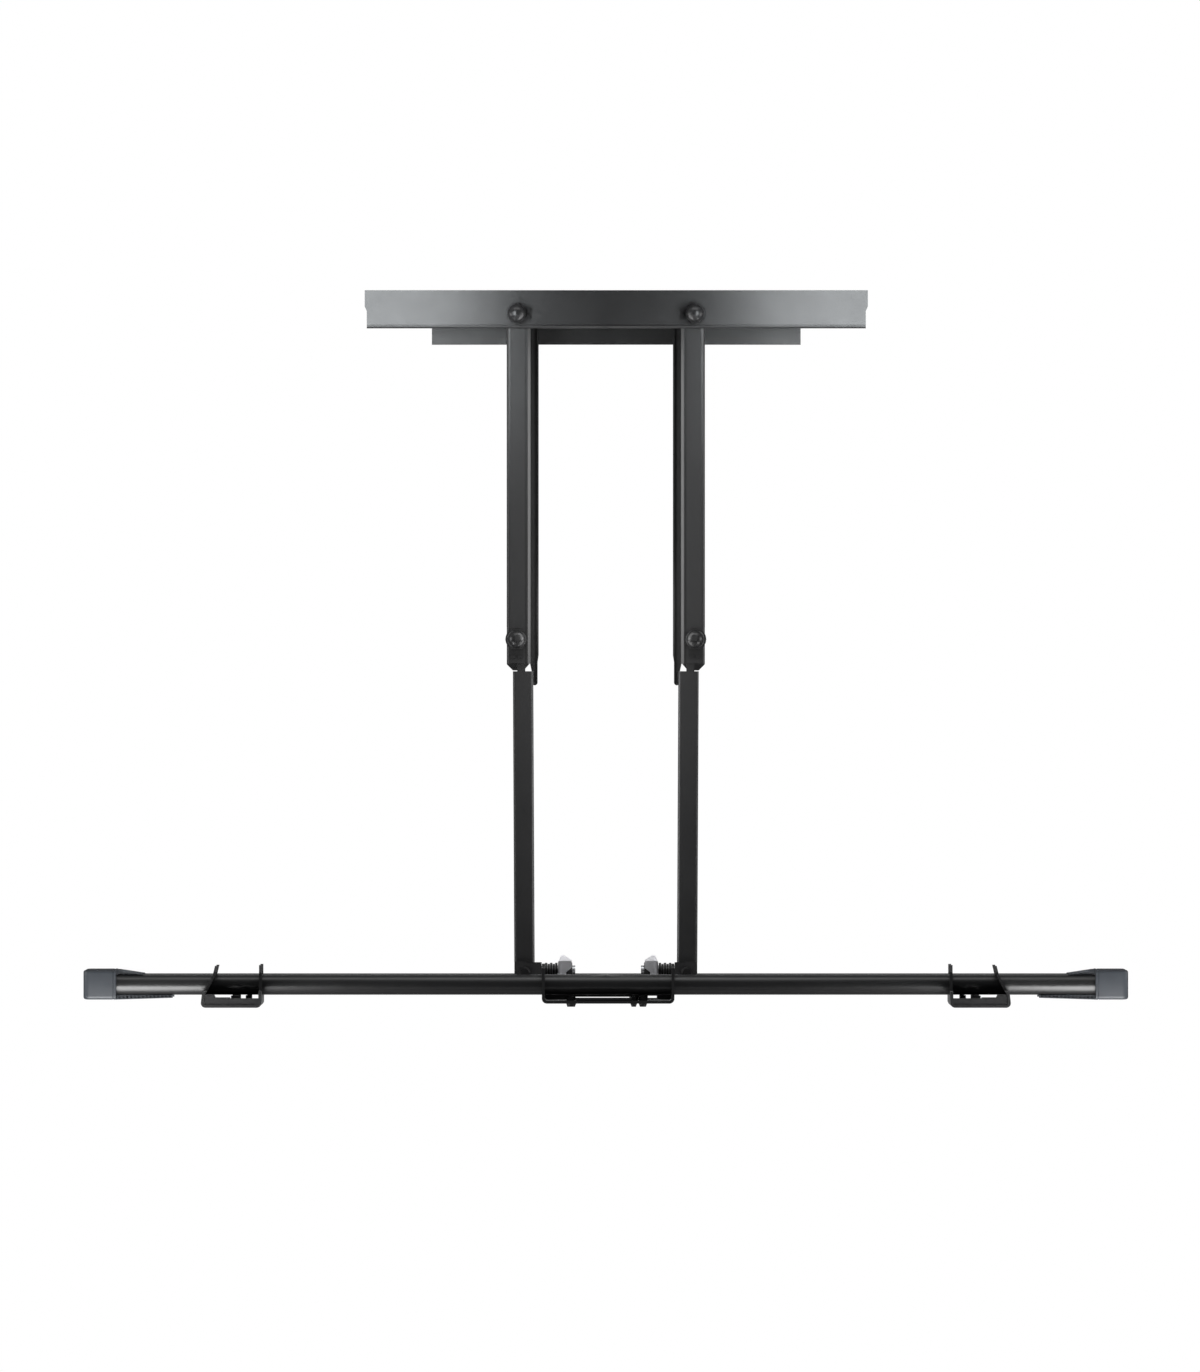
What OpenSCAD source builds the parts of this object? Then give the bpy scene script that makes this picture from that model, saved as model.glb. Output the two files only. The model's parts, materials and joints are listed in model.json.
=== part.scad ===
// Dual-arm full-motion wall mount for a television, drawn fully extended.
// Origin: centre of the wall plate's back face. +X right, +Y into the wall, +Z up.

/* [Wall plate] */
// Width of the wall plate
plate_w = 433; // [425:1:460]
// Height of the wall plate
plate_h = 110; // [106:1:116]
// Depth of the top flange
top_flange = 32.9; // [32:0.1:36]
// Depth of the bottom flange
low_flange = 46.3; // [44:0.1:48]
// Width of the bottom flange
low_flange_w = 318; // [300:1:340]
// Distance between the columns of lag-bolt slots
stud_pitch = 406.4; // [400:0.1:410]
// Distance between the rows of lag-bolt slots
slot_rows = 60; // [50:1:70]

/* [Arms] */
// Half the distance between the two wall pivots
pivot_half = 76.8; // [75:0.1:78]
// Half the distance between the two wrist pivots
wrist_half = 70; // [69.5:0.1:70.5]
// Length of a first arm between pivots
first_len = 280.3; // [279:0.1:281]
// Length of a second arm along Y between pivots
second_len = 287.1; // [286:0.1:288]
// Width of a second arm's tube
tube_w = 17.5; // [16:0.1:18]
// Height of a second arm's tube
tube_h = 76; // [70:1:80]

/* [Head] */
// Outer diameter of the two cross tubes
cross_d = 17.5; // [17:0.1:18]
// Distance between the two cross tubes
cross_pitch = 200; // [190:1:210]
// Width of the centre yoke
yoke_w = 114; // [113:0.5:115]
// Distance between the two TV rails
rail_gap = 643; // [640:1:646]
// Height of a TV rail
rail_h = 430; // [425:1:440]

/* [Hidden] */
$fn = 48;

steel = 2.5;               // sheet thickness
mid = -9;                  // X of the line halfway between the arms
wall_pivot_y = -20;
elbow_y = wall_pivot_y - first_len;
wrist_y = elbow_y - second_len;
arm_top = plate_h / 2 - steel - 1.5;   // outer face of a first arm's flange
arm_in = arm_top - steel;              // inner face of it
barrel_top = arm_in - 1.5;             // end of the elbow barrel
bolt_r = 5;
bush_in = 5.05;
bush_out = 6.2;
sleeve_r = 8;
web_x = -8.5;              // outer face of a first arm's web, from its pivot
top_in = 12;               // inner edge of its top flange
low_in = 18.9;             // inner edge of its bottom flange
first_end = wall_pivot_y - 302;        // end of the top flange
tab_end = wall_pivot_y - 320;          // end of the slotted tab
tilt_y = wrist_y + 2.1;    // tilt axis, at z = 0
ear_z = 39.8;              // inner face of a wrist ear
wrist_r = 3;
stud_r = 4;
yoke_x = mid + 2;
yoke_back = -583;
yoke_front = -613.6;
yoke_top = 118;
wing = yoke_w / 2;
cross_y = -597.3;
cross_half = 440;          // half length of a cross tube
cap_in = 420.8;            // inner face of an end cap, from mid
cap_out = 449;
cap_half_y = 12.9;
cap_half_z = 13;
rail_face = -616.6;
rail_half = 25.9;
rail_depth = 36.1;
tube_line = 5.4;           // tube centreline inward of the elbow pivot

function arc(cx, cy, r, a0, a1, n = 6) =
    [for (i = [0:n]) let (a = a0 + (a1 - a0) * i / n) [cx + r * cos(a), cy + r * sin(a)]];

// Rounded rectangle from (x0, y0) to (x1, y1).
function soft_rect(x0, y0, x1, y1, r) = concat(arc(x0 + r, y0 + r, r, 180, 270), arc(x1 - r, y0 + r, r, 270, 360),
    arc(x1 - r, y1 - r, r, 0, 90), arc(x0 + r, y1 - r, r, 90, 180));

// Both sides of the mirror line: side = 1 is the left, -1 the right.
module on_side(side, line = mid) {
    translate([line, 0, 0]) mirror([side == 1 ? 0 : 1, 0, 0]) children();
}

module ring(r_out, r_in, h) {
    difference() {
        cylinder(r = r_out, h = h);
        translate([0, 0, -1]) cylinder(r = r_in, h = h + 2);
    }
}

module tube_x(r_out, r_in, x0, x1) {
    translate([x0, 0, 0]) rotate([0, 90, 0]) ring(r_out, r_in, x1 - x0);
}

module rod_x(r, x0, x1) {
    translate([x0, 0, 0]) rotate([0, 90, 0]) cylinder(r = r, h = x1 - x0);
}

module hex(af, h) {
    cylinder(r = af / 2 / cos(30), h = h, $fn = 6);
}

// Acorn nut standing on z = 0, with a blind thread.
module dome_nut() {
    difference() {
        union() {
            intersection() {
                hex(17, 7);
                cylinder(r1 = 9, r2 = 9.9, h = 7);
            }
            translate([0, 0, 7]) cylinder(r = 8, h = 1.4);
            translate([0, 0, 8.4]) rotate_extrude() intersection() {
                circle(r = 8);
                square(9);
            }
        }
        translate([0, 0, -1]) cylinder(r = bolt_r, h = 11);
    }
}

// Lock washer with two short tabs bent up beside the nut; dir is the tab's heading.
module tab_washer(dir, reach) {
    difference() {
        union() {
            cylinder(r = 9.6, h = 1.5);
            rotate([0, 0, dir]) translate([0, -5.6, 0]) cube([reach, 11.2, 1.5]);
            rotate([0, 0, dir]) for (s = [-1, 1])
                translate([reach - 2.1, s * 3.3 - 2.3, 0]) cube([2.1, 4.6, 5.6]);
        }
        translate([0, 0, -1]) cylinder(r = bolt_r + 0.05, h = 4);
    }
}

module wall_slot(x, z) {
    for (dx = [-10.5, 10.5])
        translate([x + dx, 1, z]) rotate([90, 0, 0]) cylinder(r = 4.5, h = 5);
    translate([x - 10.5, -4, z - 4.5]) cube([21, 5, 9]);
}

// Depth profile of a flange: sheet with a fine groove and a rolled front lip.
module flange_profile(depth) {
    polygon(concat([[0, 0], [-depth + 0.6, 0]], arc(-depth + 2.2, 0.3, 2.2, 180, 108, 5),
        [[-depth + 2.2, steel], [-depth + 2.5, steel - 0.9], [-depth + 3.3, steel - 0.9],
        [-depth + 3.4, steel], [-1.4, steel], [0, steel - 1.4]]));
}

module wall_plate() {
    half = plate_w / 2;
    z1 = plate_h / 2;
    color("#26272a") difference() {
        union() {
            translate([-half + 1.8, -steel, -z1]) cube([plate_w - 3.6, steel, plate_h]);
            translate([-half + 1.8, 0, z1 - steel]) rotate([90, 0, 90])
                linear_extrude(plate_w - 3.6) flange_profile(top_flange);
            for (s = [-1, 1]) translate([0, 0, z1 - steel]) linear_extrude(steel)
                polygon([[s * (half - 2), 0], [s * half, 0], [s * half, -14], [s * (half - 2), -18.5]]);
            translate([-low_flange_w / 2, 0, -z1 + steel]) mirror([0, 0, 1]) rotate([90, 0, 90])
                linear_extrude(low_flange_w) flange_profile(low_flange);
            for (s = [-1, 1]) translate([s * (half - 1.8) - steel / 2 - s * steel / 2, -12, -z1])
                cube([steel, 12, plate_h]);
        }
        for (x = [-stud_pitch / 2, stud_pitch / 2], z = [-slot_rows / 2, slot_rows / 2]) wall_slot(x, z);
        for (side = [-1, 1]) translate([mid - side * pivot_half, wall_pivot_y, -z1 - 1])
            cylinder(r = bolt_r + 0.05, h = plate_h + 2);
    }
}

module wall_pivot_bolts() {
    color("#3a3b3e") for (side = [-1, 1]) translate([mid - side * pivot_half, wall_pivot_y, 0]) {
        translate([0, 0, -plate_h / 2]) cylinder(r = bolt_r, h = plate_h + 9);
        translate([0, 0, -plate_h / 2 - 6]) hex(16, 6);
    }
}

module wall_dome_nuts() {
    color("#1d1e20") for (side = [-1, 1])
        translate([mid - side * pivot_half, wall_pivot_y, plate_h / 2 + 1.5]) rotate([0, 0, 30]) dome_nut();
}

module wall_tab_washers() {
    color("#303134") for (side = [-1, 1]) translate([mid - side * pivot_half, wall_pivot_y, plate_h / 2])
        tab_washer(side == 1 ? 0 : 180, 11);
}

module wall_thrust_washers() {
    color("#1a1a1b") for (side = [-1, 1], s = [-1, 1])
        translate([mid - side * pivot_half, wall_pivot_y, s * (arm_top + 0.9) - 0.6])
            ring(8.2, bush_in, 1.2);
}

// C-section of a first arm, x across and y up, with rolled edges on both flanges.
module arm_section() {
    top = arm_top;
    in = arm_in;
    bend = 3;
    polygon(concat(
        arc(web_x + bend, top - bend, bend, 180, 90),
        [[top_in - 2.3, top], [top_in, top - 1.6]],
        [[top_in, in - 1.6], [top_in - 1.6, in - 1.6], [top_in - 1.6, in]],
        arc(web_x + bend, in - 0.5, 0.5, 90, 180), arc(web_x + bend, -in + 0.5, 0.5, 180, 270),
        [[low_in - 1.6, -in], [low_in - 1.6, -in + 3.6], [low_in, -in + 2.5]],
        arc(low_in - 1.8, -top + 1.8, 1.8, 360, 270), arc(web_x + bend, -top + bend, bend, 270, 180)));
}

// Plan outlines of the top and of the bottom flange, pivot at the origin, running to -Y.
module top_plan(end) {
    union() {
        circle(r = 8.5);
        translate([web_x, end]) square([top_in - web_x, -end + 6]);
    }
}

module low_plan(end, tab) {
    union() {
        circle(r = 8.5);
        polygon([[web_x, 6], [web_x, end], [web_x + 5.2, end - 5.2], [web_x + 14.6, end - 5.2],
            [11.4, end + 1], [12.9, end - 6], [12.9, tab + 2.5], [18, tab + 2.5], [18, end + 2],
            [low_in, end + 8], [low_in, 6]]);
        translate([15.45, tab + 2.5]) circle(r = 2.55);
    }
}

module first_arm(side) {
    end = first_end - wall_pivot_y;
    tab = tab_end - wall_pivot_y;
    color("#222326") on_side(side) translate([-pivot_half, wall_pivot_y, 0]) difference() {
        union() {
            intersection() {
                translate([0, 9, 0]) rotate([90, 0, 0]) linear_extrude(9 - tab) arm_section();
                union() {
                    linear_extrude(arm_top + 1) top_plan(end);
                    translate([0, 0, -arm_top - 1]) linear_extrude(arm_top + 1) low_plan(end, tab);
                }
            }
            translate([0, 0, -arm_in - 0.1]) ring(sleeve_r, bush_out, 2 * arm_in + 0.2);
        }
        translate([0, 0, -60]) cylinder(r = bush_out, h = 120);
        translate([0, -first_len, -60]) cylinder(r = bolt_r + 0.05, h = 120);
        // the web stops short of the elbow barrel
        translate([web_x - 1, end - 30, -arm_in - 0.02]) cube([steel + 1.6, 62, 2 * arm_in + 0.04]);
        // relief in the web for the folded second arm
        translate([web_x - 1, end + 30, -41]) cube([steel + 1.4, 36, 82]);
        // fine line pressed along the top flange
        translate([7.6, end - 1, arm_top - 0.8]) cube([0.9, -end - 8, 1]);
        // slit pressed into the stop tab
        translate([15, tab + 3, -arm_in - 1]) cube([1.3, 8, 2]);
        // slightly hollow end of the top flange
        translate([2, end - 60, arm_in - 2]) cylinder(r = 61.2, h = steel + 3, $fn = 180);
    }
}

module first_bushes(side) {
    color("#d8d8d2") on_side(side) translate([-pivot_half, wall_pivot_y, 0])
        for (s = [-1, 1]) translate([0, 0, s * (arm_top - 7) - 7]) ring(bush_out, bush_in, 14);
}

module elbow_bolt(side) {
    color("#3a3b3e") on_side(side) translate([-pivot_half, elbow_y, 0]) {
        translate([0, 0, -arm_top]) cylinder(r = bolt_r, h = 2 * arm_top + 9);
        translate([0, 0, -arm_top - 6]) hex(16, 6);
    }
}

module elbow_nut(side) {
    color("#1d1e20") on_side(side) translate([-pivot_half, elbow_y, arm_top + 1.5]) dome_nut();
}

module elbow_tab_washer(side) {
    color("#303134") on_side(side) translate([-pivot_half, elbow_y, arm_top]) tab_washer(-90, 16);
}

module elbow_thrust_washers(side) {
    color("#1a1a1b") on_side(side) translate([-pivot_half, elbow_y, 0])
        for (s = [-1, 1]) translate([0, 0, s * (arm_in - 0.6) - 0.6]) ring(8.2, bush_in, 1.2);
}

// Second arm: a tube that leans in to the wrist, an eye at the wrist and a barrel at the elbow.
module second_arm(side) {
    lean = atan((pivot_half - tube_line - wrist_half) / second_len);
    tube_start = 9;
    tube_end = 259.5;
    eye_r = 6.4;
    neck = 12.4;      // flat between the eye and the tube's end
    eye_hole = side == 1 ? 4.5 : 4;   // the right eye runs loose on its bolt
    h = tube_h / 2;
    color("#1b1c1e") on_side(side) difference() {
        union() {
            translate([-wrist_half, wrist_y, -h]) rotate([0, 0, lean]) difference() {
                union() {
                    translate([0, tube_end, 0]) rotate([90, 0, 0]) linear_extrude(tube_end - tube_start)
                        polygon(soft_rect(-tube_w / 2, 0, tube_w / 2, tube_h, 2.4));
                    cylinder(r = eye_r, h = tube_h);
                    translate([-neck / 2, 0, 0.4]) cube([neck, tube_start + 1, tube_h - 0.8]);
                }
                translate([-tube_w / 2 + 2, tube_start + 3, 2])
                    cube([tube_w - 4, tube_end - tube_start - 6, tube_h - 4]);
            }
            translate([-pivot_half + 0.6, elbow_y - 31, 0.4 - h]) cube([6.8, 32, tube_h - 0.8]);
            translate([-pivot_half, elbow_y, -barrel_top]) cylinder(r = sleeve_r, h = 2 * barrel_top);
        }
        translate([-wrist_half, wrist_y, -h - 1]) cylinder(r = eye_hole, h = tube_h + 2);
        translate([-pivot_half, elbow_y, -60]) cylinder(r = bush_out, h = 120);
    }
}

module elbow_bushes(side) {
    color("#d8d8d2") on_side(side) translate([-pivot_half, elbow_y, 0])
        for (s = [-1, 1]) translate([0, 0, s * (barrel_top - 7) - 7]) ring(bush_out, bush_in, 14);
}

module left_wrist_bush() {
    color("#d8d8d2") translate([mid - wrist_half, wrist_y, -tube_h / 2]) ring(4.5, wrist_r + 0.05, tube_h);
}

// Inner X of a wrist bracket's upright plate, from mid.
function plate_x(side) = wing + 0.3 - side * (yoke_x - mid);

module wrist_bracket(side) {
    px = plate_x(side);
    ear_r = 8.7;
    color("#1f2022") on_side(side) difference() {
        union() {
            translate([-px - 2.2, wrist_y - 12, -ear_z - 3]) cube([2.2, 18.5, 2 * ear_z + 6]);
            for (z = [-ear_z - 3, ear_z]) translate([0, 0, z]) {
                translate([-wrist_half, wrist_y, 0]) cylinder(r = ear_r, h = 3);
                translate([-wrist_half, wrist_y - ear_r, 0]) cube([wrist_half - px, 2 * ear_r, 3]);
                translate([-wrist_half - ear_r, wrist_y, 0]) cube([ear_r + 2, 9.6, 3]);
            }
        }
        translate([-wrist_half, wrist_y, -60]) cylinder(r = wrist_r + 0.02, h = 120);
        translate([0, tilt_y, 0]) rod_x(stud_r, -px - 4, -px + 2);
    }
}

module wrist_bolt(side) {
    color("#2c2d30") on_side(side) translate([-wrist_half, wrist_y, 0]) {
        translate([0, 0, -ear_z - 6]) cylinder(r = wrist_r, h = 2 * ear_z + 10);
        translate([0, 0, ear_z + 3]) cylinder(r1 = 5.2, r2 = 3.6, h = 3.2);
        translate([0, 0, -ear_z - 6.2]) hex(10, 3.2);
    }
}

module wrist_washers(side) {
    color("#1a1a1b") on_side(side) translate([-wrist_half, wrist_y, 0])
        for (s = [-1, 1]) translate([0, 0, s * (ear_z - 0.75) - 0.75]) ring(6.4, wrist_r + 0.05, 1.5);
}

module tilt_stud(side) {
    px = plate_x(side);
    color("#4a4b4e") on_side(side) translate([0, tilt_y, 0]) rod_x(stud_r, -px - 2.2, -px + 29);
}

module tilt_nut(side) {
    px = plate_x(side);
    color("#26272a") on_side(side) translate([-px + 21.4, tilt_y, 0]) rotate([0, 90, 0]) difference() {
        hex(13, 5);
        translate([0, 0, -1]) cylinder(r = stud_r, h = 7);
    }
}

module yoke_section() {
    cx = wing - 4.3;
    cy = yoke_front + 4.3;
    outer = concat(arc(-cx, cy, 4.3, 180, 270), arc(cx, cy, 4.3, 270, 360));
    inner = concat(arc(cx, cy, 1.8, 360, 270), arc(-cx, cy, 1.8, 270, 180));
    polygon(concat([[-wing, yoke_back]], outer, [[wing, yoke_back], [wing - steel, yoke_back]], inner,
        [[-wing + steel, yoke_back]]));
}

module yoke() {
    color("#202124") translate([yoke_x, 0, 0]) difference() {
        union() {
            translate([0, 0, -yoke_top]) linear_extrude(2 * yoke_top) yoke_section();
            translate([-wing + 2, yoke_front + 2, -yoke_top]) cube([2 * wing - 4, 7, steel]);
            // stiffening strip folded back from the front plate's top edge
            translate([-27.5, -610.2, yoke_top - 14]) cube([47.5, 1.4, 14]);
            translate([-27.5, -611.2, yoke_top - 14]) cube([47.5, 2, 2]);
            for (s = [-1, 1])
                translate([s * (wing - steel / 2), tilt_y, 0]) rod_x(5.6, -steel / 2, steel / 2);
        }
        for (z = [-cross_pitch / 2, cross_pitch / 2])
            translate([0, cross_y, z]) rod_x(cross_d / 2, -wing - 1, wing + 1);
        translate([0, tilt_y, 0]) rod_x(stud_r + 0.05, -wing - 1, wing + 1);
        translate([34.3, -609.9, -yoke_top - 1]) cube([7.7, 1.8, 6]);
        // long slit along the bend of the bottom flange
        translate([-35.4, -609.7, -yoke_top - 1]) cube([54.2, 0.7, 6]);
        // weight-saving windows in the front plate
        for (z = [-46, 46])
            translate([-36, yoke_front - 1, z - 30]) cube([72, steel + 2, 60]);
        // the wings step back beside the arms
        for (s = [-1, 1], t = [-1, 1])
            translate([s * (wing - steel / 2) - 2, -588, t * 50 - 34]) cube([4, 20, 68]);
        for (x = [-31.8, 22, 29.9])
            translate([x, yoke_front + 4, 96]) rotate([90, 0, 0]) cylinder(r = 2.5, h = 6);
    }
}

module yoke_screws() {
    color("#17181a") for (x = [[-31.8, 4.3], [22, 2.9], [29.9, 3.6]])
        translate([yoke_x + x[0], yoke_front, 96]) rotate([90, 0, 0]) {
            translate([0, 0, -6.6]) cylinder(r = 2.5, h = 6.7);
            cylinder(r1 = x[1], r2 = x[1] - 1, h = 2.8);
        }
}

module yoke_nuts() {
    color("#2c2d30") for (x = [-31.8, 22, 29.9]) translate([yoke_x + x, yoke_front + steel, 96])
        rotate([-90, 0, 0]) difference() {
            hex(6.6, 3.6);
            translate([0, 0, -1]) cylinder(r = 2.5, h = 6);
        }
}

module friction_washers(side) {
    px = plate_x(side);
    color("#101011") on_side(side) translate([0, tilt_y, 0])
        for (i = [0:4]) tube_x(i % 2 == 0 ? 6.3 : 5.4, stud_r + 0.1, -px + 2.9 + 2.2 * i, -px + 4.9 + 2.2 * i);
}

module cross_tube(z) {
    color("#1e1f21") translate([0, cross_y, z]) difference() {
        rod_x(cross_d / 2, mid - cross_half, mid + cross_half);
        rod_x(cross_d / 2 - 1.5, mid - cross_half - 1, mid + cross_half + 1);
    }
}

// End cap: rounded block over the tube's end, with a wedge fin and a toothed tongue.
module end_cap(side, z) {
    teeth = 14;
    color("#1c1f26") on_side(side) translate([0, cross_y, z]) difference() {
        union() {
            hull() for (y = [-1, 1], s = [-1, 1]) {
                translate([-cap_out + 3, y * (cap_half_y - 3.4), s * (cap_half_z - 3.4)]) sphere(r = 3, $fn = 24);
                translate([-cap_in - 1.2, y * (cap_half_y - 3), s * (cap_half_z - 3)])
                    rotate([0, 90, 0]) cylinder(r = 3, h = 1.2, $fn = 24);
            }
            translate([0, 0, -4]) linear_extrude(8)
                polygon([[-cap_in - 2, 12.7], [-cap_in + 1, 12.7], [-cap_in + 23.4, 9.1], [-cap_in - 2, 9.1]]);
            translate([0, 0, -4]) linear_extrude(8)
                polygon([[-cap_in - 2, -13.1], [-cap_in + 1, -13.1], [-cap_in + 49, -11.2],
                    [-cap_in + 49, -9.1], [-cap_in - 2, -9.1]]);
            for (i = [0:teeth - 1])
                translate([-cap_in + 3 + i * 3.3, -13.4 + i * 0.13, -5]) cube([1.6, 2.2, 10]);
        }
        rod_x(cross_d / 2, -cap_out + 4, -cap_in + 60);
        translate([-cap_in + 4.4, 10.2, -6]) cube([2.6, 1.2, 12]);
    }
}

// Side outline of a lever's paddle, y towards the wall from the tilt axis.
module paddle_side() {
    polygon([[-3, 6.6], [7.2, 1.4], [13.6, 27], [12.2, 30], [8, 30]]);
}

module tilt_lever(side) {
    x0 = -plate_x(side) + 14.2;
    color("#9a9c9e") on_side(side) translate([x0, tilt_y, 0]) difference() {
        union() {
            rod_x(7.4, 0, 6.9);
            intersection() {
                rotate([90, 0, 90]) linear_extrude(11.6) paddle_side();
                linear_extrude(31)
                    polygon([[0, -8], [0, 6.4], [2.6, 12.6], [4.6, 13.4],
                        [11.6, 8.6], [11.6, 2], [6.9, -2], [6.9, -8]]);
            }
            // raised spine along the paddle's outer edge
            intersection() {
                translate([0.9, 0, 1.2]) rotate([90, 0, 90]) linear_extrude(1.6) paddle_side();
                linear_extrude(31) polygon([[0, -8], [0, 6.4], [2.6, 12.6], [4.6, 13.4], [4.6, -8]]);
            }
        }
        rod_x(stud_r + 0.1, -1, 8);
        translate([6.91, 0, 0]) rod_x(8, 0, 6);
    }
}

// Section of a TV rail: u across, v back from the TV face. The outer leg leans inward.
module rail_section() {
    outer = concat(arc(-rail_half + 4, 4, 4, 180, 270), arc(rail_half - 4, 4, 4, 270, 360));
    inner = concat(arc(rail_half - 4, 4, 1.5, 360, 270), arc(-rail_half + 4, 4, 1.5, 270, 180));
    polygon(concat([[-14.4, 35.4], [-16.3, 27.5], [-25, 11.7]], outer,
        [[rail_half, rail_depth], [rail_half - 2.4, rail_depth]], inner,
        [[-22.6, 11.1], [-14, 26.9], [-12, 35.4]]));
}

// Side outline of a rail: shallow legs, with a deep ear round each cross tube.
module rail_side() {
    h = rail_h / 2;
    difference() {
        union() {
            translate([-1, -h]) square([15, rail_h]);
            for (z = [-cross_pitch / 2, cross_pitch / 2]) translate([0, z])
                polygon([[13, -14], [rail_depth + 1, -9], [rail_depth + 1, 17], [30, 24], [13, 27]]);
        }
        for (z = [-cross_pitch / 2, cross_pitch / 2]) translate([cross_y - rail_face, z]) {
            circle(r = cross_d / 2 + 0.35);
            translate([-cross_d / 2 - 0.35, -30]) square([cross_d + 0.7, 30]);
        }
    }
}

module rail(side) {
    h = rail_h / 2;
    color("#202225") on_side(side) translate([-rail_gap / 2, rail_face, 0]) difference() {
        union() {
            intersection() {
                translate([0, 0, -h]) linear_extrude(rail_h) rail_section();
                translate([-40, 0, 0]) rotate([90, 0, 90]) linear_extrude(80) rail_side();
            }
            translate([0, 0, h - steel - 0.8]) linear_extrude(steel) polygon([[-22.8, 2], [23.7, 2], [23.7, 8.2],
                [-0.6, 8.2], [-0.6, 9], [-13.2, 9], [-14.2, 11.4], [-22.4, 11.4]]);
            for (z = [-cross_pitch / 2, cross_pitch / 2]) translate([-0.6, 2, z - 8]) cube([7.2, 7.9, 30]);
        }
        for (z = [-200, -150, 150, 200], e = [-1, 1])
            translate([0, 4, z + e * 6.75]) rotate([90, 0, 0]) cylinder(r = 3.25, h = 6);
        for (z = [-200, -150, 150, 200]) translate([-3.25, -1, z - 6.75]) cube([6.5, 5, 13.5]);
        for (z = [-cross_pitch / 2, cross_pitch / 2])
            translate([14.1, 4, z]) rotate([90, 0, 0]) cylinder(r = 2.2, h = 6);
    }
}

module lock_screws(side) {
    color("#2c2d30") on_side(side) translate([-rail_gap / 2, rail_face, 0])
        for (z = [-cross_pitch / 2, cross_pitch / 2]) translate([14.1, 10.2, z]) rotate([90, 0, 0]) {
            cylinder(r = 2.2, h = 9.8);
            translate([0, 0, 4.7]) hex(8, 3);
        }
}

wall_plate();
wall_pivot_bolts();
wall_dome_nuts();
wall_tab_washers();
wall_thrust_washers();
first_arm(1);  // left_first_arm
first_bushes(1);  // left_first_bushes
elbow_bolt(1);  // left_elbow_bolt
elbow_nut(1);  // left_elbow_nut
elbow_tab_washer(1);  // left_elbow_tab_washer
elbow_thrust_washers(1);  // left_elbow_thrust_washers
first_arm(-1);  // right_first_arm
first_bushes(-1);  // right_first_bushes
elbow_bolt(-1);  // right_elbow_bolt
elbow_nut(-1);  // right_elbow_nut
elbow_tab_washer(-1);  // right_elbow_tab_washer
elbow_thrust_washers(-1);  // right_elbow_thrust_washers
second_arm(1);  // left_second_arm
elbow_bushes(1);  // left_elbow_bushes
left_wrist_bush();
second_arm(-1);  // right_second_arm
elbow_bushes(-1);  // right_elbow_bushes
wrist_bracket(1);  // left_wrist_bracket
wrist_bolt(1);  // left_wrist_bolt
wrist_washers(1);  // left_wrist_washers
tilt_stud(1);  // left_tilt_stud
tilt_nut(1);  // left_tilt_nut
wrist_bracket(-1);  // right_wrist_bracket
wrist_bolt(-1);  // right_wrist_bolt
wrist_washers(-1);  // right_wrist_washers
tilt_stud(-1);  // right_tilt_stud
tilt_nut(-1);  // right_tilt_nut
yoke();
yoke_screws();
yoke_nuts();
friction_washers(1);  // left_friction_washers
friction_washers(-1);  // right_friction_washers
cross_tube(cross_pitch / 2);  // upper_tube
cross_tube(-cross_pitch / 2);  // lower_tube
end_cap(1, cross_pitch / 2);  // upper_left_cap
end_cap(-1, cross_pitch / 2);  // upper_right_cap
end_cap(1, -cross_pitch / 2);  // lower_left_cap
end_cap(-1, -cross_pitch / 2);  // lower_right_cap
tilt_lever(1);  // left_tilt_lever
tilt_lever(-1);  // right_tilt_lever
rail(1);  // left_rail
lock_screws(1);  // left_lock_screws
rail(-1);  // right_rail
lock_screws(-1);  // right_lock_screws
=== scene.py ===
"""Dual-arm television wall mount: camera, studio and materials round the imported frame."""
import json
import math

import bmesh
import bpy
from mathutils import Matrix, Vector


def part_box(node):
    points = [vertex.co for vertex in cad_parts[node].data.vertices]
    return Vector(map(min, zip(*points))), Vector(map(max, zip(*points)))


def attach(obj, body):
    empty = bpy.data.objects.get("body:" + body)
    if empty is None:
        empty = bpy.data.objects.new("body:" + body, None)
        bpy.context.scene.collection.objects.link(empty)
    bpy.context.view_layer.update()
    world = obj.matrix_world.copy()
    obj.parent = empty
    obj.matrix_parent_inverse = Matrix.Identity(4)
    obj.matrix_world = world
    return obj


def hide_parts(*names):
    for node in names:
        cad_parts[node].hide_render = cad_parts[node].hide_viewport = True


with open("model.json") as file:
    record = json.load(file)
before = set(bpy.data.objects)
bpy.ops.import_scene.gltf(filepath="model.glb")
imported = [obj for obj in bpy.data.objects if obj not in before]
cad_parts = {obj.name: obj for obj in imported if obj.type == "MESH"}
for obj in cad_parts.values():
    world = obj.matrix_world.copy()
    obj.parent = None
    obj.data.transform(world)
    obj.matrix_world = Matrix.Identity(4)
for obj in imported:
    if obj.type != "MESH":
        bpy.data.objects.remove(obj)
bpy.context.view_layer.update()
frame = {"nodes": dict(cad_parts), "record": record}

MM = 0.001
DARK = 0.0145                      # base colour of the black coats, linear
VIEW_HEIGHT = 49.0                 # camera height: the view is all but parallel
VIEW_LONG_SIDE = 1.1795            # what the picture's long side spans, in metres, at the height below
SCALE_HEIGHT = 0.1                 # height of the upper tube
SENSOR = 36.0
VIEW_CENTRE = (-14.0 * MM, -340.6 * MM)
# end caps, in millimetres: inner and outer end from the arms' centreline, and half their width
CAP_IN, CAP_OUT, CAP_HALF = 420.8, 449.0, 12.9
RIB_PITCH, RIB_DROP = 4.2, 0.62            # ribs on a cap's fin: spacing, and how much lower each one is
TOOTH_PITCH, TOOTH_DROP = 3.3, 0.1         # the same for the teeth on its tongue
ARMS_X = -9.0 * MM                         # the line halfway between the arms
FLOOR_SIZE, FLOOR_Z = 24.0, -1.2           # metres


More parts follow.
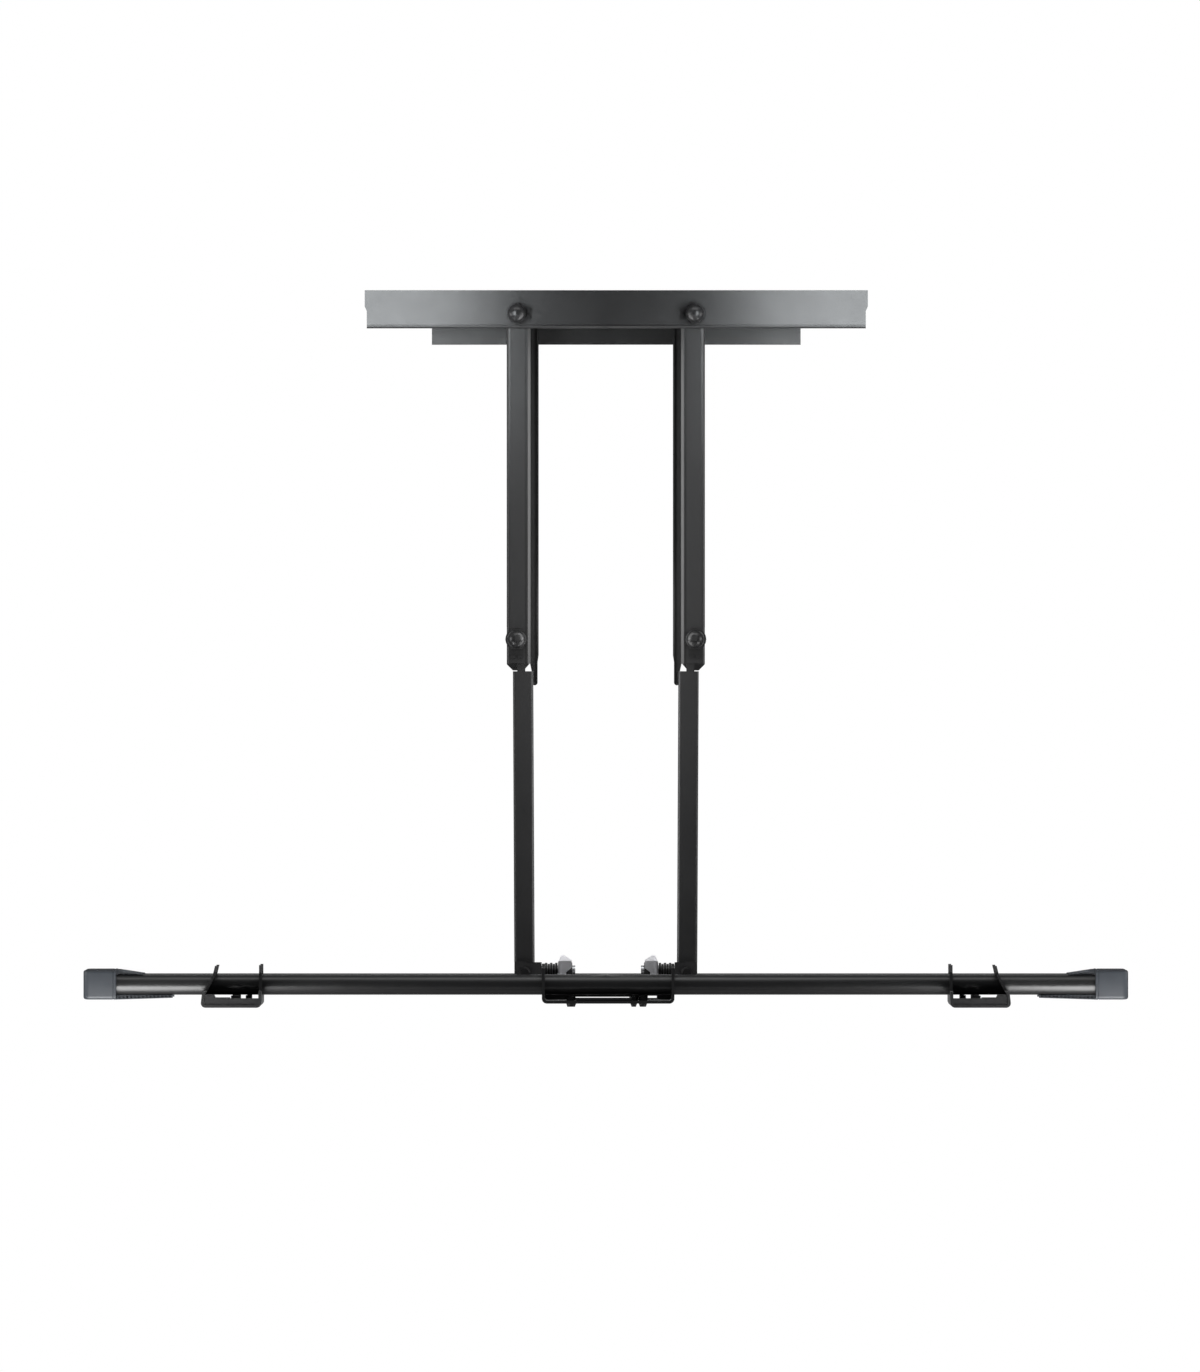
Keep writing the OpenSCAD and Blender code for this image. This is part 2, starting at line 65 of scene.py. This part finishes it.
# ---------- camera ----------
def make_camera():
    data = bpy.data.cameras.new("camera")
    data.sensor_width = SENSOR
    data.lens = SENSOR * (VIEW_HEIGHT - SCALE_HEIGHT) / VIEW_LONG_SIDE
    data.clip_start, data.clip_end = 1.0, 100.0
    camera = bpy.data.objects.new("camera", data)
    camera.location = (*VIEW_CENTRE, VIEW_HEIGHT)
    bpy.context.collection.objects.link(camera)
    bpy.context.scene.camera = camera


# ---------- materials ----------
class Shader:
    """A Principled material with a few short ways to add nodes to it."""

    def __init__(self, name, **values):
        self.material = bpy.data.materials.new(name)
        self.material.use_nodes = True
        self.nodes = self.material.node_tree.nodes
        self.links = self.material.node_tree.links
        self.body = self.nodes["Principled BSDF"]
        for key, value in values.items():
            self.body.inputs[key.replace("_", " ")].default_value = value
        self.coords = self.nodes.new("ShaderNodeTexCoord")

    def noise(self, scale, detail=3.0, roughness=0.55, stretch=(1, 1, 1)):
        mapping = self.nodes.new("ShaderNodeMapping")
        mapping.inputs["Scale"].default_value = stretch
        self.links.new(self.coords.outputs["Object"], mapping.inputs["Vector"])
        node = self.nodes.new("ShaderNodeTexNoise")
        node.inputs["Scale"].default_value = scale
        node.inputs["Detail"].default_value = detail
        node.inputs["Roughness"].default_value = roughness
        self.links.new(mapping.outputs["Vector"], node.inputs["Vector"])
        return node.outputs["Fac"]

    def ramp(self, source, stops):
        node = self.nodes.new("ShaderNodeValToRGB")
        for element, (place, colour) in zip(node.color_ramp.elements, stops):
            element.position = place
            element.color = (*colour, 1.0)
        self.links.new(source, node.inputs["Fac"])
        return node.outputs["Color"]

    def spread(self, source, low, high):
        node = self.nodes.new("ShaderNodeMapRange")
        node.inputs["To Min"].default_value = low
        node.inputs["To Max"].default_value = high
        self.links.new(source, node.inputs["Value"])
        return node.outputs["Result"]

    def bump(self, source, strength, depth, under=None):
        node = self.nodes.new("ShaderNodeBump")
        node.inputs["Strength"].default_value = strength
        node.inputs["Distance"].default_value = depth
        self.links.new(source, node.inputs["Height"])
        if under is not None:
            self.links.new(under, node.inputs["Normal"])
        return node.outputs["Normal"]

    def plug(self, name, source):
        self.links.new(source, self.body.inputs[name])


def grey(value, warm=1.0):
    return (value * warm, value, value / warm * 1.03)


def powder_coat(name, tone, roughness, grain):
    """Fine-textured powder coat: orange-peel waves, a tight grain, faint handling marks."""
    made = Shader(name, Specular_IOR_Level=0.5, Coat_Weight=0.06, Coat_Roughness=0.25)
    cloud = made.noise(9.0, 4.0)
    made.plug("Base Color", made.ramp(cloud, [(0.3, grey(tone * 0.85)), (0.72, grey(tone * 1.2))]))
    made.plug("Roughness", made.spread(made.noise(55.0, 5.0), roughness - 0.06, roughness + 0.07))
    peel = made.bump(made.noise(420.0, 2.0), 0.10, 0.0004)
    made.plug("Normal", made.bump(made.noise(grain, 2.0, 0.7), 0.16, 0.00012, peel))
    return made.material


def black_plating(name, tone, roughness):
    """Black zinc or oxide on machined steel: darker flecks and turned marks."""
    made = Shader(name, Metallic=0.35, Specular_IOR_Level=0.6)
    cloud = made.noise(140.0, 4.0)
    made.plug("Base Color", made.ramp(cloud, [(0.3, grey(tone * 0.7)), (0.75, grey(tone * 1.5))]))
    made.plug("Roughness", made.spread(made.noise(600.0, 4.0), roughness - 0.08, roughness + 0.1))
    made.plug("Normal", made.bump(made.noise(1500.0, 2.0, stretch=(1, 1, 6)), 0.12, 0.0001))
    return made.material


def bright_zinc(name):
    made = Shader(name, Metallic=1.0)
    cloud = made.noise(90.0, 5.0)
    made.plug("Base Color", made.ramp(cloud, [(0.3, (0.42, 0.43, 0.46)), (0.7, (0.62, 0.63, 0.62))]))
    made.plug("Roughness", made.spread(made.noise(700.0, 3.0, stretch=(1, 12, 12)), 0.22, 0.42))
    made.plug("Normal", made.bump(made.noise(1800.0, 2.0, stretch=(8, 1, 1)), 0.1, 0.0001))
    return made.material


def moulded_plastic(name, colour, roughness):
    """Spark-eroded mould grain on a solid colour."""
    made = Shader(name, Specular_IOR_Level=0.5)
    shades = [tuple(c * k for c in colour) for k in (0.9, 1.12)]
    made.plug("Base Color", made.ramp(made.noise(30.0, 3.0), [(0.35, shades[0]), (0.7, shades[1])]))
    made.plug("Roughness", made.spread(made.noise(240.0, 4.0), roughness - 0.06, roughness + 0.06))
    cells = made.nodes.new("ShaderNodeTexVoronoi")
    cells.inputs["Scale"].default_value = 1700.0
    made.links.new(made.coords.outputs["Object"], cells.inputs["Vector"])
    made.plug("Normal", made.bump(cells.outputs["Distance"], 0.14, 0.00012))
    return made.material


def make_materials():
    return {
        "wall_coat": powder_coat("wall_coat", DARK * 1.25, 0.40, 1500.0),
        "arm_coat": powder_coat("arm_coat", DARK, 0.42, 1500.0),
        "head_coat": powder_coat("head_coat", DARK, 0.42, 1500.0),
        "tube_coat": powder_coat("tube_coat", DARK * 0.85, 0.34, 1800.0),
        "nut_black": black_plating("nut_black", 0.022, 0.28),
        "bolt_black": black_plating("bolt_black", 0.012, 0.34),
        "stud_zinc": bright_zinc("stud_zinc"),
        "cap_plastic": moulded_plastic("cap_plastic", (0.021, 0.025, 0.031), 0.46),
        "lever_grey": powder_coat("lever_grey", 0.85, 0.45, 1200.0),
        "bush_nylon": moulded_plastic("bush_nylon", (0.66, 0.66, 0.6), 0.5),
        "washer_black": moulded_plastic("washer_black", (0.012, 0.012, 0.012), 0.5),
    }


# ---------- CAD nodes: materials, softened edges ----------
# width of the softened edges by material, in millimetres
EDGE = {"nut_black": 0.5, "bolt_black": 0.35, "wall_coat": 0.45, "arm_coat": 0.5, "head_coat": 0.4,
        "lever_grey": 0.5, "bush_nylon": 0.2, "washer_black": 0.15, "stud_zinc": 0.3}


def soften(obj, width, angle=38):
    bevel = obj.modifiers.new("soft_edges", "BEVEL")
    bevel.width = width * MM
    bevel.segments = 2
    bevel.limit_method = "ANGLE"
    bevel.angle_limit = math.radians(angle)
    bevel.use_clamp_overlap = True
    bevel.harden_normals = True


def dress_nodes():
    slots = {part["node"]: part["material_slot"] for part in frame["record"]["subparts"]}
    for node, obj in frame["nodes"].items():
        obj.data.materials.clear()
        obj.data.materials.append(MATERIALS[slots[node]])
        if slots[node] in EDGE:
            soften(obj, EDGE[slots[node]])


# ---------- detailed pieces ----------
class Shape:
    """Collects closed shells, in millimetres, into one mesh."""

    def __init__(self, flip=1):
        self.mesh = bmesh.new()
        self.flip = flip               # -1 mirrors the piece across X

    def ring(self, points):
        return [self.mesh.verts.new((x * self.flip * MM, y * MM, z * MM)) for x, y, z in points]

    def loft(self, rings):
        rows = [self.ring(points) for points in rings]
        for low, high in zip(rows, rows[1:]):
            for k in range(len(low)):
                self.mesh.faces.new((low[k - 1], low[k], high[k], high[k - 1]))
        self.mesh.faces.new(rows[0])
        self.mesh.faces.new(rows[-1][::-1])

    def prism(self, outline, z0, z1):
        self.loft([[(x, y, z) for x, y in outline] for z in (z0, z1)])

    def finish(self, name, body, slot_name, bevel=0.0, angle=38):
        bmesh.ops.recalc_face_normals(self.mesh, faces=self.mesh.faces)
        for face in self.mesh.faces:
            face.smooth = True
        data = bpy.data.meshes.new(name)
        self.mesh.to_mesh(data)
        self.mesh.free()
        piece = bpy.data.objects.new(name, data)
        bpy.context.collection.objects.link(piece)
        data.materials.append(MATERIALS[slot_name])
        data.set_sharp_from_angle(angle=math.radians(angle))
        if bevel:
            soften(piece, bevel, angle)
        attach(piece, body)
        return piece


def rounded_ring(x, y, z, half_y, half_z, radius, steps=6):
    """Points of a rounded rectangle across X."""
    points = []
    for quarter, (sy, sz) in enumerate(((1, 1), (-1, 1), (-1, -1), (1, -1))):
        for k in range(steps + 1):
            turn = math.radians(90 * (quarter + k / steps))
            points.append((x, y + sy * (half_y - radius) + radius * math.cos(turn),
                           z + sz * (half_z - radius) + radius * math.sin(turn)))
    return points


def make_end_cap(name, flip, centre_x, centre_y, centre_z):
    """A moulded cap: domed block, collar, hooked fin on the wall side, toothed tongue on the screen side."""
    cap = Shape(flip)

    def at(x):
        return x + centre_x * flip

    def section(x, shrink_y, shrink_z, radius):
        return rounded_ring(at(x), centre_y, centre_z, CAP_HALF - shrink_y, CAP_HALF - shrink_z, radius)

    # collar, groove, then the domed block
    steps = ((0, 0.5, 2.6), (0.5, 0, 2.8), (2.0, 0, 2.8), (2.3, 0.4, 2.6), (2.8, 0.4, 2.6), (3.1, 0.1, 2.8))
    rings = [section(CAP_IN + along, shrink, shrink, radius) for along, shrink, radius in steps]
    for k in range(9):
        turn = math.radians(90 * k / 8)
        fall = 1 - math.cos(turn)
        rings.append(section(CAP_OUT - 7.5 + 7.5 * math.sin(turn) ** 0.9, 0.1 + 2.4 * fall ** 2.2,
                             0.1 + 4.2 * fall, 2.8 - 0.3 * k / 8))
    cap.loft(rings)

    def plan(points, z0, z1):
        cap.prism([(at(x), centre_y + y) for x, y in points], centre_z + z0, centre_z + z1)

    edge = CAP_IN + 0.6                # fin, with a moulded hook near the cap
    plan([(edge, 12.6), (edge - 3.6, 12.4), (edge - 3.6, 9.0), (edge, 9.0)], -3.6, 3.6)
    plan([(edge - 3.2, 12.4), (edge - 23.8, 9.3), (edge - 23.8, 8.6), (edge - 3.2, 8.6)], -1.0, 1.0)
    plan([(edge - 6.0, 12.0), (edge - 23.8, 9.3), (edge - 23.8, 8.6), (edge - 6.0, 11.0)], -3.6, 3.6)
    for k in range(4):
        left = edge - 6.6 - RIB_PITCH * k
        drop = RIB_DROP * k
        plan([(left, 11.2 - drop), (left - 0.9, 11.1 - drop), (left - 0.9, 8.6), (left, 8.6)], -3.4, 3.4)
    plan([(edge, -12.7), (edge - 49, -11.2), (edge - 49, -8.8), (edge, -8.8)], -1.6, 1.6)
    plan([(edge, -12.9), (edge - 49, -11.4), (edge - 49, -10.7), (edge, -12.0)], -4.6, 4.6)
    for k in range(15):
        left = edge - 1.2 - TOOTH_PITCH * k
        drop = TOOTH_DROP * k
        plan([(left, -12.4 + drop), (left - 1.5, -12.35 + drop), (left - 1.5, -9.0), (left, -9.0)],
             -4.4, 4.4)
    return cap.finish(name, "head", "cap_plastic", 0.15)


def make_caps():
    for node in ("upper_left_cap", "upper_right_cap", "lower_left_cap", "lower_right_cap"):
        low, high = (tuple(v / MM for v in corner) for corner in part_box(node))
        flip = -1 if "left" in node else 1
        centre_x = (low[0] if flip < 0 else high[0]) - flip * CAP_OUT
        piece = make_end_cap(f"{node}_moulded", flip, centre_x, high[1] - CAP_HALF, (low[2] + high[2]) / 2)
        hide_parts(node)


# ---------- studio ----------
NARROW = 110                               # degrees; keeps a lamp off tops that are seen from the side


def softbox(name, place, aim, size, radiance, tint=(1, 1, 1), spread=180):
    """A rectangular lamp, hidden from the camera, with its brightness given per area."""
    data = bpy.data.lights.new(name, "AREA")
    data.shape = "RECTANGLE"
    data.size, data.size_y = size
    data.energy = radiance * math.pi * size[0] * size[1]
    data.color = tint
    data.spread = math.radians(spread)
    lamp = bpy.data.objects.new(name, data)
    lamp.location = place
    lamp.rotation_euler = (Vector(aim) - Vector(place)).to_track_quat("-Z", "Y").to_euler()
    lamp.visible_camera = False
    bpy.context.collection.objects.link(lamp)


def make_studio():
    softbox("overhead", (0, -0.24, 0.30), (0, -0.24, 0), (0.36, 0.30), 0.62)
    softbox("screen_side", (0, -1.0, 0.6), (0, -0.6, 0), (0.8, 0.08), 0.9)
    softbox("wall_side", (0, 1.3, 0.7), (0, -0.2, 0), (1.8, 0.6), 2.2)
    for side in (-1, 1):
        # low over the wall plate's ends, leaving its middle dark
        softbox(f"wall_end_{side + 1}", (side * 0.29, -0.02, 0.25), (side * 0.29, -0.02, 0),
                (0.34, 0.18), 4.2, (0.94, 0.98, 1.0), NARROW)
        # on the screen side, for the round tubes' ends
        softbox(f"tube_end_{side + 1}", (side * 0.47, -0.81, 0.29), (side * 0.42, -0.6, 0),
                (0.25, 0.32), 5.0, spread=NARROW)
        softbox(f"side_{side + 1}", (side * 1.25, -0.25, 0.35), (0, -0.25, 0), (0.6, 0.5), 3.8)
        # a low strip between the arms, for their inner edges
        for name, y, z, tall in (("near", -0.18, 0.09, 0.07), ("far", -0.45, 0.062, 0.04)):
            softbox(f"between_{name}_{side + 1}", (ARMS_X, y, z), (side, y, z), (0.26, tall), 3.4)
    world = bpy.data.worlds.new("studio")
    bpy.context.scene.world = world
    world.use_nodes = True
    nodes, links = world.node_tree.nodes, world.node_tree.links
    lit = nodes["Background"]
    coords = nodes.new("ShaderNodeTexCoord")
    split = nodes.new("ShaderNodeSeparateXYZ")
    ramp = nodes.new("ShaderNodeValToRGB")
    sky = ((0.0, (0.5, 0.5, 0.51, 1)), (0.8, (0.085, 0.085, 0.087, 1)))      # horizon, overhead
    for element, (place, colour) in zip(ramp.color_ramp.elements, sky):
        element.position, element.color = place, colour
    links.new(coords.outputs["Generated"], split.inputs["Vector"])
    links.new(split.outputs["Z"], ramp.inputs["Fac"])
    links.new(ramp.outputs["Color"], lit.inputs["Color"])
    seen = nodes.new("ShaderNodeBackground")
    seen.inputs["Color"].default_value = (1, 1, 1, 1)
    path, mix = nodes.new("ShaderNodeLightPath"), nodes.new("ShaderNodeMixShader")
    links.new(path.outputs["Is Camera Ray"], mix.inputs["Fac"])
    links.new(lit.outputs["Background"], mix.inputs[1])
    links.new(seen.outputs["Background"], mix.inputs[2])
    links.new(mix.outputs["Shader"], nodes["World Output"].inputs["Surface"])
    bpy.context.scene.view_settings.view_transform = "Standard"


def make_floor():
    bpy.ops.mesh.primitive_plane_add(size=FLOOR_SIZE, location=(0, 0, FLOOR_Z))
    floor = bpy.context.object
    floor.name = "floor"
    made = Shader("floor_paint", Roughness=0.9)
    made.plug("Base Color", made.ramp(made.noise(1.5), [(0.3, (0.80,) * 3), (0.7, (0.82,) * 3)]))
    glow = made.nodes.new("ShaderNodeEmission")
    glow.inputs["Color"].default_value = (1, 1, 1, 1)
    mix = made.nodes.new("ShaderNodeMixShader")
    path = made.nodes.new("ShaderNodeLightPath")
    made.links.new(path.outputs["Is Camera Ray"], mix.inputs["Fac"])
    made.links.new(made.body.outputs["BSDF"], mix.inputs[1])
    made.links.new(glow.outputs["Emission"], mix.inputs[2])
    made.links.new(mix.outputs["Shader"], made.nodes["Material Output"].inputs["Surface"])
    floor.data.materials.append(made.material)


make_camera()
MATERIALS = make_materials()
dress_nodes()
make_caps()
make_studio()
make_floor()
